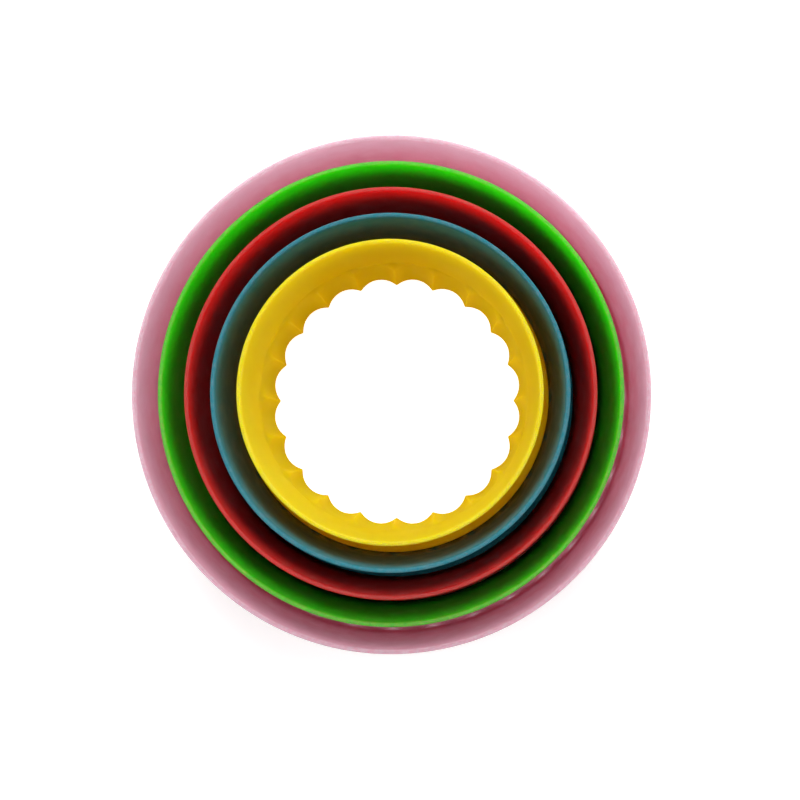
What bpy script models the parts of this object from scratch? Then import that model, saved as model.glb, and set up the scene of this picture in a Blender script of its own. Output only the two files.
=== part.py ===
"""Nesting set of round double-edged ring cutters, at rest, standing on the floor with their fluted edges down.

Each ring is one moulded piece that is open at both ends: a plain round wall above, a fluted skirt below,
and a press flange around the outside where the two meet. The rings stand one inside another on one axis.
A ring's flange sits just above the tops of the next larger ring's cusps, so it lifts straight up out of that
ring and can't fall through it. Units are metres, +Z is up, and the origin is on the axis at floor level.
"""

import math

import bmesh
import bpy

# Rings, smallest first: name, and base colour as linear RGB.
RINGS = (
    ("ring_58_yellow", (0.85, 0.60, 0.04)),
    ("ring_68_blue", (0.09, 0.25, 0.35)),
    ("ring_78_red", (0.60, 0.04, 0.04)),
    ("ring_88_green", (0.08, 0.45, 0.03)),
    ("ring_98_pink", (0.68, 0.30, 0.38)),
)

# Driving dimensions of the set.
HEIGHT = 0.040
SMALLEST_RIM_RADIUS = 0.029
RIM_RADIUS_STEP = 0.005
SMALLEST_FLUTE_COUNT = 20
FLUTE_COUNT_STEP = 4

# Plain wall. It is thinnest at the cutting rim, and its inner face has no taper.
RIM_WALL = 0.0009
ROOT_WALL = 0.0013

# Press flange, measured outwards from the rim's outer radius.
FLANGE_OVERHANG = 0.0032
FLANGE_BOTTOM = 0.0205
FLANGE_THICKNESS = 0.0020

# Fluted skirt. Cusps point inwards and bulges point outwards, about the plain wall's inner radius.
CUSP_INSET = 0.0013
BULGE_OUTSET = 0.0004
SKIRT_WALL = 0.0011
NEST_GAP = 0.0003
SKIRT_TOP = FLANGE_BOTTOM - NEST_GAP
SKIRT_OVERLAP = 0.0007

# Facets.
TURNED_STEPS = 48
STEPS_PER_FLUTE = 4
WELD_DISTANCE = 1e-6

ROUGHNESS = 0.35


def clear_scene():
    for obj in list(bpy.data.objects):
        bpy.data.objects.remove(obj, do_unlink=True)


def new_collection(name):
    collection = bpy.data.collections.new(name)
    bpy.context.scene.collection.children.link(collection)
    return collection


def plastic(name, colour):
    """A smooth moulded plastic in one colour."""
    material = bpy.data.materials.new(name)
    material.use_nodes = True
    shader = material.node_tree.nodes["Principled BSDF"]
    shader.inputs["Base Color"].default_value = (*colour, 1.0)
    shader.inputs["Roughness"].default_value = ROUGHNESS
    shader.inputs["Metallic"].default_value = 0.0
    return material


def wall_profile(rim_radius):
    """The closed section (radius, height) of plain wall and flange, down its outer side and up its inner side."""
    inner = rim_radius - RIM_WALL
    root = inner + ROOT_WALL
    flange = rim_radius + FLANGE_OVERHANG
    flange_top = FLANGE_BOTTOM + FLANGE_THICKNESS
    wall_bottom = SKIRT_TOP - SKIRT_OVERLAP
    return [
        (rim_radius, HEIGHT),
        (root, flange_top),
        (flange, flange_top),
        (flange, FLANGE_BOTTOM),
        (root, FLANGE_BOTTOM),
        (root, wall_bottom),
        (inner, wall_bottom),
        (inner, HEIGHT),
    ]


def turned_body(name, profile, collection):
    """The closed profile swept once around +Z."""
    points = [(radius, 0.0, height) for radius, height in profile]
    edges = [(i, (i + 1) % len(points)) for i in range(len(points))]
    mesh = bpy.data.meshes.new(name)
    mesh.from_pydata(points, edges, [])
    body = bpy.data.objects.new(name, mesh)
    collection.objects.link(body)
    screw = body.modifiers.new("turn", "SCREW")
    screw.steps = TURNED_STEPS
    screw.render_steps = TURNED_STEPS
    screw.use_merge_vertices = True
    screw.merge_threshold = WELD_DISTANCE
    return body


def flute_arc(count, bulge, cusp):
    """For arcs that bulge out to one radius and meet at cusps on another: the distance from the axis to an arc's
    centre, and the arc's own radius."""
    half_pitch = math.pi / count
    centre = (bulge**2 - cusp**2) / (2 * (bulge - cusp * math.cos(half_pitch)))
    return centre, bulge - centre


def scalloped_outline(count, centre, radius):
    """Points around an outline of equal arcs, with its first cusp on +X."""
    half_pitch = math.pi / count
    across = centre * math.sin(half_pitch)
    cusp = centre * math.cos(half_pitch) + math.sqrt(radius**2 - across**2)
    half_arc = math.asin(cusp * math.sin(half_pitch) / radius)
    points = []
    for flute in range(count):
        middle = (2 * flute + 1) * half_pitch
        for step in range(STEPS_PER_FLUTE):
            turn = middle + half_arc * (2 * step / STEPS_PER_FLUTE - 1)
            x = centre * math.cos(middle) + radius * math.cos(turn)
            y = centre * math.sin(middle) + radius * math.sin(turn)
            points.append((x, y))
    return points


def add_outline(curve, points):
    spline = curve.splines.new("POLY")
    spline.points.add(len(points) - 1)
    for point, (x, y) in zip(spline.points, points):
        point.co = (x, y, 0.0, 1.0)
    spline.use_cyclic_u = True


def mesh_from_curve(source, collection):
    """A closed mesh object in the curve's place. The curve is removed."""
    bpy.context.view_layer.update()
    graph = bpy.context.evaluated_depsgraph_get()
    mesh = bpy.data.meshes.new_from_object(source.evaluated_get(graph))
    edit = bmesh.new()
    edit.from_mesh(mesh)
    bmesh.ops.remove_doubles(edit, verts=edit.verts, dist=WELD_DISTANCE)
    bmesh.ops.recalc_face_normals(edit, faces=edit.faces)
    edit.to_mesh(mesh)
    edit.free()
    solid = bpy.data.objects.new(source.name + "_solid", mesh)
    solid.matrix_world = source.matrix_world
    collection.objects.link(solid)
    bpy.data.objects.remove(source, do_unlink=True)
    return solid


def fluted_skirt(name, rim_radius, flute_count, collection):
    """The fluted wall below the flange, as a helper that is joined to the ring."""
    inner = rim_radius - RIM_WALL
    centre, radius = flute_arc(flute_count, inner + BULGE_OUTSET, inner - CUSP_INSET)
    curve = bpy.data.curves.new(name, "CURVE")
    curve.dimensions = "2D"
    curve.fill_mode = "BOTH"
    curve.extrude = SKIRT_TOP / 2
    add_outline(curve, scalloped_outline(flute_count, centre, radius + SKIRT_WALL))
    add_outline(curve, scalloped_outline(flute_count, centre, radius))
    flat = bpy.data.objects.new(name, curve)
    flat.location.z = SKIRT_TOP / 2
    collection.objects.link(flat)
    skirt = mesh_from_curve(flat, collection)
    skirt.hide_render = True
    skirt.display_type = "WIRE"
    return skirt


def cutter_ring(name, colour, rim_radius, flute_count, parts, helpers):
    """One whole ring: plain wall and flange, with the skirt joined on below."""
    ring = turned_body(name, wall_profile(rim_radius), parts)
    join = ring.modifiers.new("skirt", "BOOLEAN")
    join.operation = "UNION"
    join.object = fluted_skirt(name + "_skirt", rim_radius, flute_count, helpers)
    ring.data.materials.append(plastic(name + "_plastic", colour))
    return ring


def main():
    clear_scene()
    parts = new_collection("nesting_ring_cutters")
    helpers = new_collection("helpers")
    rings = []
    for index, (name, colour) in enumerate(RINGS):
        rim_radius = SMALLEST_RIM_RADIUS + index * RIM_RADIUS_STEP
        flute_count = SMALLEST_FLUTE_COUNT + index * FLUTE_COUNT_STEP
        rings.append(cutter_ring(name, colour, rim_radius, flute_count, parts, helpers))
    # Every ring is lifted out of the next larger one, along the common axis.
    for ring, holder in zip(rings, rings[1:]):
        ring.parent = holder


main()
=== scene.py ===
"""Looks of a nesting set of round double-edged ring cutters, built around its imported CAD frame.

Every ring gets a fine moulded mesh in place of its faceted CAD node, with a rounded rim, a filleted flange
and arc-shaped flutes that run out softly into the plain wall. Lengths are in metres.
"""

import math

import bpy
import numpy as np
from mathutils import Matrix, Vector


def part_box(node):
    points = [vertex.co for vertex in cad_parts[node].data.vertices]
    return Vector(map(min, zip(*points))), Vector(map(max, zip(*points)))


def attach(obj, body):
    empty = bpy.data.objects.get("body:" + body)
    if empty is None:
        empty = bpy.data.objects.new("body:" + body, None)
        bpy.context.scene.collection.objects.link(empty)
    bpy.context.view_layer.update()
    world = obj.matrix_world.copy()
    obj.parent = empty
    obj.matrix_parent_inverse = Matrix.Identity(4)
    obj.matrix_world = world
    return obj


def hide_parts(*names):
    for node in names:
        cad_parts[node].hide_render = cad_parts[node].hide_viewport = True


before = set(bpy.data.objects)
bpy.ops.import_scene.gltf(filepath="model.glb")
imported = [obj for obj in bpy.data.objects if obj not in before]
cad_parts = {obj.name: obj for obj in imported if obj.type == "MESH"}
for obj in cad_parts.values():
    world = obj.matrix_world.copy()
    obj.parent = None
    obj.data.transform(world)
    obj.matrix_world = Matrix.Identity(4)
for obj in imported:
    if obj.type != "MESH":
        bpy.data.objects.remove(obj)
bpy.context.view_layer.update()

MM = 0.001

# Moulded section, as in the CAD. Radii are taken from each node's own box.
FLANGE_OVERHANG = 3.2 * MM
FLANGE_BOTTOM = 20.5 * MM
FLANGE_TOP = 22.5 * MM
RIM_WALL = 0.9 * MM
ROOT_WALL = 1.3 * MM
SKIRT_WALL = 1.1 * MM
CUSP_INSET = 1.3 * MM
BULGE_OUTSET = 0.4 * MM

# Rounding that the CAD leaves out. The rim's inner edge is rounded over more height than width.
RIM_INNER_ROUND = 0.30 * MM
RIM_INNER_STRETCH = 4.0
RIM_OUTER_ROUND = 0.22 * MM
FLANGE_ROUND = 0.22 * MM
WALL_FILLET = 0.5 * MM
SKIRT_FILLET = 0.3 * MM
FOOT_OUTER_ROUND = 0.28 * MM
FOOT_INNER_ROUND = 0.2 * MM
CUSP_ROUND = 0.16 * MM

# Heights at which the flutes run out into the plain wall, and the groove round the top of the run-out.
BLEND_BOTTOM = 17.0 * MM
BLEND_TOP = 20.4 * MM
GROOVE_BOTTOM = 20.2 * MM
GROOVE_TOP = 21.2 * MM
FAINT_GROOVE = 0.02 * MM

# Fine ridge round the flange's edge, where the mould's halves meet.
PARTING_RIDGE = 0.05 * MM
PARTING_HALF_WIDTH = 0.1 * MM

# Faces along each stretch of the section, and round each flute.
RIM_STEPS = 8
EDGE_STEPS = 6
FILLET_STEPS = 5
FOOT_STEPS = 4
WALL_STEPS = 5
INNER_WALL_STEPS = 7
BLEND_STEPS = 20
STEPS_PER_FLUTE = 14


class Ring:
    """One ring's names, flute count, finish and depth of groove, with its size read from the frame."""

    def __init__(self, node, body, slot, flutes, finish, groove=FAINT_GROOVE):
        self.node = node
        self.body = body
        self.slot = slot
        self.flutes = flutes
        self.finish = finish
        self.groove = groove
        _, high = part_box(node)
        self.height = high.z
        self.flange_radius = high.x
        self.rim_radius = high.x - FLANGE_OVERHANG
        self.inner_radius = self.rim_radius - RIM_WALL


# ---------------------------------------------------------------- ring meshes


def arc(centre_r, centre_z, radius, start_deg, end_deg, steps, stretch=1.0):
    """Points (r, z) along an arc, ends included. centre_r may be an array over the angle round the ring, and
    stretch makes the arc taller than it is wide."""
    points = []
    for i in range(steps + 1):
        turn = math.radians(start_deg + (end_deg - start_deg) * i / steps)
        points.append((centre_r + radius * math.cos(turn), centre_z + stretch * radius * math.sin(turn)))
    return points


def line(start, end, steps):
    """Points strictly between two (r, z) points."""
    shares = [i / (steps + 1) for i in range(1, steps + 1)]
    return [tuple(a + (b - a) * t for a, b in zip(start, end)) for t in shares]


def flute_angles(count):
    """Angles round the ring, closer together near the cusps, which lie at multiples of the pitch."""
    half_pitch = math.pi / count
    spread = np.sin(np.linspace(-0.5, 0.5, STEPS_PER_FLUTE, endpoint=False) * math.pi)
    middles = (2 * np.arange(count) + 1) * half_pitch
    return (middles[:, None] + half_pitch * spread[None, :]).ravel()


def scallop(angles, count, bulge, cusp, offset=0.0):
    """Radius, at each angle, of an outline of equal outward arcs with softened cusps, moved out by offset."""
    half_pitch = math.pi / count
    centre = (bulge**2 - cusp**2) / (2 * (bulge - cusp * math.cos(half_pitch)))
    radius = bulge - centre + offset
    from_cusp = np.abs((angles + half_pitch) % (2 * half_pitch) - half_pitch)
    softened = np.sqrt(from_cusp**2 + (CUSP_ROUND / cusp) ** 2)
    off_middle = half_pitch - np.minimum(softened, half_pitch)
    return centre * np.cos(off_middle) + np.sqrt(radius**2 - (centre * np.sin(off_middle)) ** 2)


def outer_section(ring, fluted):
    """The outside from the rim down to the foot, as (r, z) points. fluted is the skirt's outer face."""
    root = ring.inner_radius + ROOT_WALL
    edge = ring.flange_radius - PARTING_RIDGE
    middle = (FLANGE_BOTTOM + FLANGE_TOP) / 2

    points = arc(ring.rim_radius - RIM_OUTER_ROUND, ring.height - RIM_OUTER_ROUND, RIM_OUTER_ROUND,
                 90, 0, EDGE_STEPS)
    fillet = arc(root + WALL_FILLET, FLANGE_TOP + WALL_FILLET, WALL_FILLET, 180, 270, FILLET_STEPS)
    points += line(points[-1], fillet[0], WALL_STEPS) + fillet
    points += arc(edge - FLANGE_ROUND, FLANGE_TOP - FLANGE_ROUND, FLANGE_ROUND, 90, 0, EDGE_STEPS)
    points.append((edge, middle + PARTING_HALF_WIDTH))
    points.append((edge + PARTING_RIDGE, middle))
    points.append((edge, middle - PARTING_HALF_WIDTH))
    points += arc(edge - FLANGE_ROUND, FLANGE_BOTTOM + FLANGE_ROUND, FLANGE_ROUND, 0, -90, EDGE_STEPS)
    points += arc(fluted + SKIRT_FILLET, FLANGE_BOTTOM - SKIRT_FILLET, SKIRT_FILLET, 90, 180, FOOT_STEPS)
    foot = arc(fluted - FOOT_OUTER_ROUND, FOOT_OUTER_ROUND, FOOT_OUTER_ROUND, 0, -90, FOOT_STEPS)
    points += line(points[-1], foot[0], WALL_STEPS) + foot
    return points


def run_out(ring, fluted):
    """The flutes' soft run-out into the plain wall, with a shallow groove round its top, going upwards."""
    points = []
    for i in range(BLEND_STEPS + 1):
        height = BLEND_BOTTOM + (GROOVE_TOP - BLEND_BOTTOM) * i / BLEND_STEPS
        share = min((height - BLEND_BOTTOM) / (BLEND_TOP - BLEND_BOTTOM), 1.0)
        share = share * share * (3.0 - 2.0 * share)
        across = max(height - GROOVE_BOTTOM, 0.0) / (GROOVE_TOP - GROOVE_BOTTOM)
        groove = ring.groove * math.sin(math.pi * across) ** 2
        points.append((fluted + (ring.inner_radius - fluted) * share + groove, height))
    return points


def ring_section(ring, angles):
    """The ring's closed section as (r, z) points: over the rim, down the outside, under the foot and up the
    inside. r is an array over the angles wherever the wall is fluted."""
    bulge = ring.inner_radius + BULGE_OUTSET
    cusp = ring.inner_radius - CUSP_INSET
    fluted_in = scallop(angles, ring.flutes, bulge, cusp)
    fluted_out = scallop(angles, ring.flutes, bulge, cusp, SKIRT_WALL)

    points = arc(ring.inner_radius + RIM_INNER_ROUND, ring.height - RIM_INNER_STRETCH * RIM_INNER_ROUND,
                 RIM_INNER_ROUND, 180, 90, RIM_STEPS, RIM_INNER_STRETCH)
    points += outer_section(ring, fluted_out)
    points += arc(fluted_in + FOOT_INNER_ROUND, FOOT_INNER_ROUND, FOOT_INNER_ROUND, -90, -180, FOOT_STEPS)
    blend = run_out(ring, fluted_in)
    points += line(points[-1], blend[0], WALL_STEPS) + blend
    points += line(blend[-1], points[0], INNER_WALL_STEPS)
    return points


def ring_piece(ring):
    """A closed mesh swept round the axis from the ring's section."""
    angles = flute_angles(ring.flutes)
    section = ring_section(ring, angles)
    count = len(angles)
    radius = np.stack([np.broadcast_to(r, count) for r, _ in section])
    height = np.stack([np.broadcast_to(z, count) for _, z in section])
    points = np.stack([radius * np.cos(angles), radius * np.sin(angles), height], axis=-1)
    row, column = np.meshgrid(np.arange(len(section)), np.arange(count), indexing="ij")
    next_row = (row + 1) % len(section)
    next_column = (column + 1) % count
    faces = np.stack(
        [row * count + column, next_row * count + column,
         next_row * count + next_column, row * count + next_column],
        axis=-1,
    )
    mesh = bpy.data.meshes.new(ring.body + "_moulding")
    mesh.from_pydata(points.reshape(-1, 3).tolist(), [], faces.reshape(-1, 4).tolist())
    mesh.shade_smooth()
    piece = bpy.data.objects.new(mesh.name, mesh)
    bpy.context.scene.collection.objects.link(piece)
    return piece


# ---------------------------------------------------------------- node trees


class Nodes:
    """Short calls for building one node tree."""

    def __init__(self, tree):
        self.tree = tree

    def add(self, kind, **settings):
        """A node of that kind. Keys that start with in_ name an input by number or name, and set its value or
        link it. The others are properties."""
        node = self.tree.nodes.new(kind)
        inputs = {key: value for key, value in settings.items() if key.startswith("in_")}
        for key, value in settings.items():
            if key not in inputs:
                setattr(node, key, value)
        for key, value in inputs.items():
            name = key[3:]
            socket = node.inputs[int(name)] if name.isdigit() else node.inputs[name.replace("_", " ")]
            self.put(value, socket)
        return node

    def put(self, value, socket):
        """Links the value to the socket if it is a socket too, and otherwise sets it."""
        if isinstance(value, bpy.types.NodeSocket):
            self.tree.links.new(value, socket)
        else:
            socket.default_value = value

    def math(self, operation, a, b=0.0, clamp=False):
        return self.add("ShaderNodeMath", operation=operation, use_clamp=clamp, in_0=a, in_1=b).outputs[0]

    def plus(self, a, b, clamp=False):
        return self.math("ADD", a, b, clamp)

    def times(self, a, b):
        return self.math("MULTIPLY", a, b)

    def noise(self, vector, scale, detail, roughness):
        return self.add("ShaderNodeTexNoise", in_Vector=vector, in_Scale=scale, in_Detail=detail,
                        in_Roughness=roughness).outputs["Fac"]

    def remap(self, value, low, high, to_low, to_high, smooth=False):
        kind = "SMOOTHSTEP" if smooth else "LINEAR"
        return self.add("ShaderNodeMapRange", interpolation_type=kind, in_0=value, in_1=low, in_2=high,
                        in_3=to_low, in_4=to_high).outputs[0]

    def mix(self, share, a, b):
        """A colour between a and b, which are RGB values or sockets."""
        node = self.add("ShaderNodeMix", data_type="RGBA", in_0=share)
        for value, socket in ((a, node.inputs[6]), (b, node.inputs[7])):
            self.put(value if isinstance(value, bpy.types.NodeSocket) else (*value, 1.0), socket)
        return node.outputs[2]


def new_material(name):
    material = bpy.data.materials.new(name)
    material.use_nodes = True
    material.node_tree.nodes.clear()
    return material, Nodes(material.node_tree)


# ---------------------------------------------------------------- plastic

# Noise patterns: scale per metre, octaves of detail, and the weight of each octave against the one before.
FLOW_NOISE = (130, 4, 0.5)
SCUFF_NOISE = (900, 3, 0.65)
GLOSS_NOISE = (260, 3, 0.5)
RIPPLE_NOISE = (160, 2, 0.5)
GRAIN_NOISE = (2600, 2, 0.5)
FLOW_DRAWN_OUT = (1, 1, 0.45)

# The part of a noise pattern's range that is spread over the whole of an effect.
MIDDLE = (0.3, 0.7)
SCUFF_MIDDLE = (0.35, 0.7)

# Mould drag lines: noise on the unrolled wall, fine round the ring and long up it.
DRAG_PER_RADIAN = 60.0
DRAG_PER_METRE = 90.0
DRAG_NOISE = (2.2, 3, 0.6)
DRAG_WEIGHT = 0.35
GRAIN_WEIGHT = 0.05
RELIEF_DEPTH = 0.03 * MM
RELIEF_STRENGTH = 0.35

# Painted light: the tint changes over this height below the rim.
PAINTED_TOP_LIGHT_HEIGHT = 12.0 * MM
# Bands of wear at the rim and the foot. The rim's colour is partly a painted highlight.
RIM_WEAR_AND_HIGHLIGHT_HEIGHT = 0.9 * MM
RUBBED_FOOT_HEIGHT = 0.6 * MM
RUBBED_ROUGHENING = 0.25
LEAST_SCUFF = 0.25
REFRACTIVE_INDEX = 1.49
LEAST_ROUGHNESS = 0.30
GREATEST_ROUGHNESS = 0.42


def wear_and_highlight_share(nodes, ring, place, z):
    """How far the plastic is worn at each point: in patches along the rim and the foot. At the rim this worn
    colour is partly a painted highlight.
    """
    # The rim band is wear and partly a painted highlight. The foot band is wear.
    rim = nodes.remap(z, ring.height - RIM_WEAR_AND_HIGHLIGHT_HEIGHT, ring.height, 0.0, 1.0, True)
    foot = nodes.remap(z, 0.0, RUBBED_FOOT_HEIGHT, 1.0, 0.0, True)
    scuffs = nodes.remap(nodes.noise(place, *SCUFF_NOISE), *SCUFF_MIDDLE, LEAST_SCUFF, 1.0)
    return nodes.times(nodes.times(nodes.plus(rim, foot, True), scuffs), ring.finish["most_wear_and_highlight"])


def plastic_colour(nodes, ring, place, z, wear_and_highlight):
    """Soft flow marks in the pigment, a paler tint at the top of the wall that is painted light, and worn
    edges whose colour at the rim is partly a painted highlight.
    """
    finish = ring.finish
    drawn_out = nodes.add("ShaderNodeMapping", in_Vector=place, in_Scale=FLOW_DRAWN_OUT).outputs[0]
    flow = nodes.remap(nodes.noise(drawn_out, *FLOW_NOISE), *MIDDLE, 0.0, 1.0)
    pigment = nodes.mix(flow, finish["dark"], finish["light"])
    # Painted light: the tint changes towards the rim, and is paler there for the pink and the blue.
    painted_top_light = nodes.remap(z, ring.height - PAINTED_TOP_LIGHT_HEIGHT, ring.height, 0.0, 1.0, True)
    # Worn rim and foot, with the rim's colour partly a painted highlight.
    return nodes.mix(wear_and_highlight, nodes.mix(painted_top_light, pigment, finish["painted_top_light"]), finish["wear_and_highlight"])


def mould_relief(nodes, place, x, y, z):
    """A bumped normal: upright drag lines from the mould, soft ripples and a fine grain."""
    around = nodes.times(nodes.math("ARCTAN2", y, x), DRAG_PER_RADIAN)
    along = nodes.times(z, DRAG_PER_METRE)
    unrolled = nodes.add("ShaderNodeCombineXYZ", in_0=around, in_1=along).outputs[0]
    drag = nodes.times(nodes.noise(unrolled, *DRAG_NOISE), DRAG_WEIGHT)
    ripple = nodes.noise(place, *RIPPLE_NOISE)
    grain = nodes.times(nodes.noise(place, *GRAIN_NOISE), GRAIN_WEIGHT)
    relief = nodes.plus(drag, nodes.plus(ripple, grain))
    return nodes.add("ShaderNodeBump", in_Strength=RELIEF_STRENGTH, in_Distance=RELIEF_DEPTH,
                     in_Height=relief).outputs[0]


def moulded_plastic(ring):
    """Semi-gloss moulded polypropylene that lets light through."""
    finish = ring.finish
    material, nodes = new_material(ring.slot)
    place = nodes.add("ShaderNodeTexCoord").outputs["Object"]
    x, y, z = nodes.add("ShaderNodeSeparateXYZ", in_0=place).outputs
    wear_and_highlight = wear_and_highlight_share(nodes, ring, place, z)
    uneven = nodes.remap(nodes.noise(place, *GLOSS_NOISE), *MIDDLE, LEAST_ROUGHNESS, GREATEST_ROUGHNESS)
    shader = nodes.add(
        "ShaderNodeBsdfPrincipled",
        subsurface_method="RANDOM_WALK",
        in_Base_Color=plastic_colour(nodes, ring, place, z, wear_and_highlight),
        in_Roughness=nodes.plus(uneven, nodes.times(wear_and_highlight, RUBBED_ROUGHENING)),
        in_IOR=REFRACTIVE_INDEX,
        in_Specular_IOR_Level=finish["sheen"],
        in_Subsurface_Weight=1.0,
        in_Subsurface_Radius=finish["reach"],
        in_Subsurface_Scale=MM,
        in_Normal=mould_relief(nodes, place, x, y, z),
        # Painted light: the plastic gives off light of its own, though it is no lamp.
        in_Emission_Color=(*finish["painted_glow"], 1.0),
        in_Emission_Strength=1.0,
    )
    nodes.add("ShaderNodeOutputMaterial", in_Surface=shader.outputs[0])
    return material


# ---------------------------------------------------------------- floor

FLOOR_HALF_SIDE = 5.0
FLOOR_DROP = 0.05 * MM
FLOOR_DARK = (0.88, 0.88, 0.88)
FLOOR_LIGHT = (0.92, 0.92, 0.92)
FLOOR_TONE_NOISE = (14, 4, 0.5)
FLOOR_GRAIN_NOISE = (900, 3, 0.5)
FLOOR_GRAIN_DEPTH = 0.2 * MM
FLOOR_GRAIN_STRENGTH = 0.05
FLOOR_ROUGHNESS = 0.7

# Painted brightness that only the camera sees, and the distances from the axis between which it changes.
# Inside the rings it is a painted pool of light over the walls' shade.
INSIDE_PAINTED_POOL = 0.85
FOOT_LIFT = 0.3
OPEN_LIFT = 0.8
FAR_LIFT = 1.0
INSIDE_FADE = (24 * MM, 48 * MM)
OPEN_FADE = (60 * MM, 105 * MM)
FAR_FADE = (0.2, 1.2)


def painted_floor_light(nodes, place):
    """The floor's painted extra brightness: a pool of light inside the rings over the walls' shade, least
    round the foot, where a contact shadow shows.
    """
    out = nodes.add("ShaderNodeVectorMath", operation="LENGTH", in_0=place).outputs["Value"]
    # Painted pool of light inside the rings.
    inside = nodes.remap(out, *INSIDE_FADE, INSIDE_PAINTED_POOL, FOOT_LIFT, True)
    around = nodes.remap(out, *OPEN_FADE, FOOT_LIFT, OPEN_LIFT, True)
    beyond = nodes.remap(out, *FAR_FADE, FOOT_LIFT, FAR_LIFT, True)
    return nodes.math("MAXIMUM", inside, nodes.math("MAXIMUM", around, beyond))


def floor_material():
    """A pale matt table top, clear from below. The camera sees it brighter than it lights the rings."""
    material, nodes = new_material("pale_table")
    place = nodes.add("ShaderNodeTexCoord").outputs["Object"]
    seen = nodes.add("ShaderNodeLightPath").outputs["Is Camera Ray"]
    pale = nodes.mix(nodes.noise(place, *FLOOR_TONE_NOISE), FLOOR_DARK, FLOOR_LIGHT)
    bump = nodes.add("ShaderNodeBump", in_Strength=FLOOR_GRAIN_STRENGTH, in_Distance=FLOOR_GRAIN_DEPTH,
                     in_Height=nodes.noise(place, *FLOOR_GRAIN_NOISE))
    table = nodes.add("ShaderNodeBsdfPrincipled", in_Base_Color=nodes.mix(seen, FLOOR_DARK, pale),
                      in_Roughness=FLOOR_ROUGHNESS, in_Normal=bump.outputs[0])
    # Painted light that only the camera sees.
    painted_glow = nodes.add("ShaderNodeEmission", in_Strength=nodes.times(seen, painted_floor_light(nodes, place)))
    both = nodes.add("ShaderNodeAddShader", in_0=table.outputs[0], in_1=painted_glow.outputs[0])
    below = nodes.add("ShaderNodeNewGeometry").outputs["Backfacing"]
    clear = nodes.add("ShaderNodeBsdfTransparent")
    surface = nodes.add("ShaderNodeMixShader", in_0=below, in_1=both.outputs[0], in_2=clear.outputs[0])
    nodes.add("ShaderNodeOutputMaterial", in_Surface=surface.outputs[0])
    return material


def add_floor():
    """A large plane just under the rings' feet."""
    s = FLOOR_HALF_SIDE
    mesh = bpy.data.meshes.new("floor")
    mesh.from_pydata([(-s, -s, 0), (s, -s, 0), (s, s, 0), (-s, s, 0)], [], [(0, 1, 2, 3)])
    mesh.materials.append(floor_material())
    floor = bpy.data.objects.new("floor", mesh)
    floor.location.z = -FLOOR_DROP
    bpy.context.scene.collection.objects.link(floor)


# ---------------------------------------------------------------- light and camera

# Soft lamps round the set: angle from +X and height above the floor in degrees, and power in watts.
LAMPS = (
    ("far_lamp", 90, 45, 5.2),
    ("far_right_lamp", 45, 50, 2.1),
    ("right_lamp", 0, 33, 2.8),
    ("left_lamp", 180, 45, 3.3),
    ("near_lamp", 270, 65, 1.5),
    ("top_lamp", 0, 90, 1.0),
)
LAMP_DISTANCE = 0.9
LAMP_SIZE = 0.5
ROOM_FILL = 0.08
ROOM_AS_SEEN = 1.0


def add_soft_lamp(name, angle, height, power):
    """A square area light that faces the middle of the set and can't be seen itself."""
    data = bpy.data.lights.new(name, "AREA")
    data.size = LAMP_SIZE
    data.energy = power
    lamp = bpy.data.objects.new(name, data)
    level = math.cos(math.radians(height))
    direction = Vector((level * math.cos(math.radians(angle)), level * math.sin(math.radians(angle)),
                        math.sin(math.radians(height))))
    lamp.location = LAMP_DISTANCE * direction
    lamp.rotation_euler = (-direction).to_track_quat("-Z", "Y").to_euler()
    lamp.visible_camera = False
    bpy.context.scene.collection.objects.link(lamp)


def add_room():
    """A white room. The camera sees it much brighter than it lights the set."""
    world = bpy.data.worlds.new("room")
    world.use_nodes = True
    world.node_tree.nodes.clear()
    nodes = Nodes(world.node_tree)
    seen = nodes.add("ShaderNodeLightPath").outputs["Is Camera Ray"]
    strength = nodes.remap(seen, 0.0, 1.0, ROOM_FILL, ROOM_AS_SEEN)
    background = nodes.add("ShaderNodeBackground", in_Color=(1, 1, 1, 1), in_Strength=strength)
    nodes.add("ShaderNodeOutputWorld", in_Surface=background.outputs[0])
    bpy.context.scene.world = world


# Looking almost straight down, from 173 mm above the rims.
CAMERA_PLACE = Vector((7.6, -9.7, 213.0)) * MM
CAMERA_TURN_Y = math.radians(1.84)
CAMERA_TURN_X = math.radians(2.66)
CAMERA_NEAR = 0.01
SENSOR_WIDTH = 36.0
LENS = 41.45


def add_camera():
    data = bpy.data.cameras.new("camera")
    data.sensor_width = SENSOR_WIDTH
    data.lens = LENS
    data.clip_start = CAMERA_NEAR
    camera = bpy.data.objects.new("camera", data)
    turn = Matrix.Rotation(CAMERA_TURN_Y, 4, "Y") @ Matrix.Rotation(CAMERA_TURN_X, 4, "X")
    camera.matrix_world = Matrix.Translation(CAMERA_PLACE) @ turn
    bpy.context.scene.collection.objects.link(camera)
    bpy.context.scene.camera = camera


# ---------------------------------------------------------------- the set

# Plastics that give off no painted light of their own.
NO_PAINTED_GLOW = (0.0, 0.0, 0.0)


def plastic_finish(dark, light, painted_top_light, wear_and_highlight, most_wear_and_highlight, reach, sheen, painted_glow=NO_PAINTED_GLOW):
    """One plastic's looks. dark and light are its pigment, painted_top_light its tint at the top of the wall,
    where a paler tint is painted light, and wear_and_highlight its colour where worn, partly a painted
    highlight at the rim, all as linear RGB. most_wear_and_highlight is the most that it is worn, and reach is
    how far red, green and blue light travel in it, in millimetres. sheen is the strength of its reflections,
    and painted_glow is painted light that it gives off of its own."""
    return {"dark": dark, "light": light, "painted_top_light": painted_top_light, "wear_and_highlight": wear_and_highlight, "most_wear_and_highlight": most_wear_and_highlight, "reach": reach,
            "sheen": sheen, "painted_glow": painted_glow}


# The tints at the top of the wall, paler than the pigment for the pink and the blue, are painted light. The
# worn colours at the rim are partly painted highlights.
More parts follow.
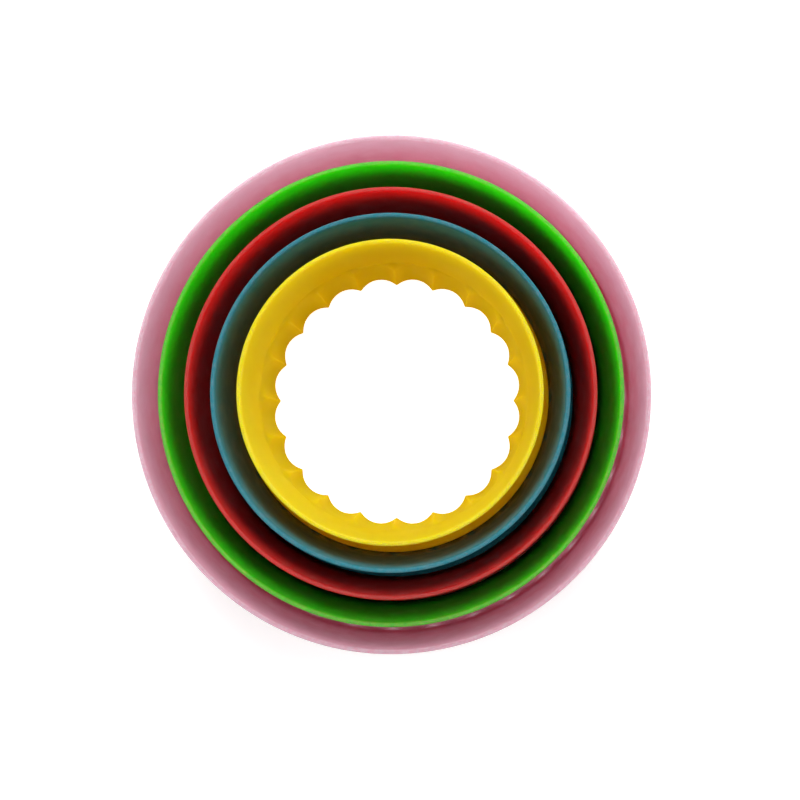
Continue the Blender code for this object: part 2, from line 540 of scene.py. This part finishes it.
PINK = plastic_finish(
    dark=(0.46, 0.062, 0.098), light=(0.52, 0.078, 0.12), painted_top_light=(0.45, 0.135, 0.19),
    wear_and_highlight=(0.40, 0.27, 0.31), most_wear_and_highlight=0.7, reach=(15.0, 11.0, 12.5), sheen=0.15,
)
GREEN = plastic_finish(
    dark=(0.020, 0.37, 0.008), light=(0.026, 0.42, 0.012), painted_top_light=(0.024, 0.40, 0.010),
    wear_and_highlight=(0.28, 0.44, 0.03), most_wear_and_highlight=0.45, reach=(0.2, 30.0, 0.2), sheen=0.4,
)
RED = plastic_finish(
    dark=(0.56, 0.021, 0.018), light=(0.62, 0.025, 0.021), painted_top_light=(0.61, 0.024, 0.020),
    wear_and_highlight=(0.42, 0.025, 0.022), most_wear_and_highlight=0.4, reach=(25.0, 0.2, 0.2), sheen=0.3,
)
BLUE = plastic_finish(
    dark=(0.010, 0.105, 0.13), light=(0.013, 0.12, 0.15), painted_top_light=(0.012, 0.175, 0.22),
    wear_and_highlight=(0.13, 0.22, 0.25), most_wear_and_highlight=0.6, reach=(0.2, 0.9, 1.1), sheen=0.04,
)
# The yellow gives off a little orange light of its own. This is painted light that lifts its shaded flange
# and walls.
YELLOW = plastic_finish(
    dark=(0.63, 0.47, 0.012), light=(0.67, 0.51, 0.018), painted_top_light=(0.65, 0.50, 0.015),
    wear_and_highlight=(0.74, 0.58, 0.12), most_wear_and_highlight=0.3, reach=(14.0, 8.0, 0.2), sheen=0.0, painted_glow=(0.13, 0.03, 0.0),
)
YELLOW_GROOVE = 0.12 * MM

RINGS = (
    Ring("ring_98_pink", "ring_98", "pink_plastic", 36, PINK),
    Ring("ring_88_green", "ring_88", "green_plastic", 32, GREEN),
    Ring("ring_78_red", "ring_78", "red_plastic", 28, RED),
    Ring("ring_68_blue", "ring_68", "blue_plastic", 24, BLUE),
    Ring("ring_58_yellow", "ring_58", "yellow_plastic", 20, YELLOW, YELLOW_GROOVE),
)


def main():
    for ring in RINGS:
        piece = ring_piece(ring)
        piece.data.materials.append(moulded_plastic(ring))
        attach(piece, ring.body)
        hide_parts(ring.node)
    add_floor()
    add_room()
    for lamp in LAMPS:
        add_soft_lamp(*lamp)
    add_camera()
    bpy.context.scene.view_settings.view_transform = "Standard"


main()
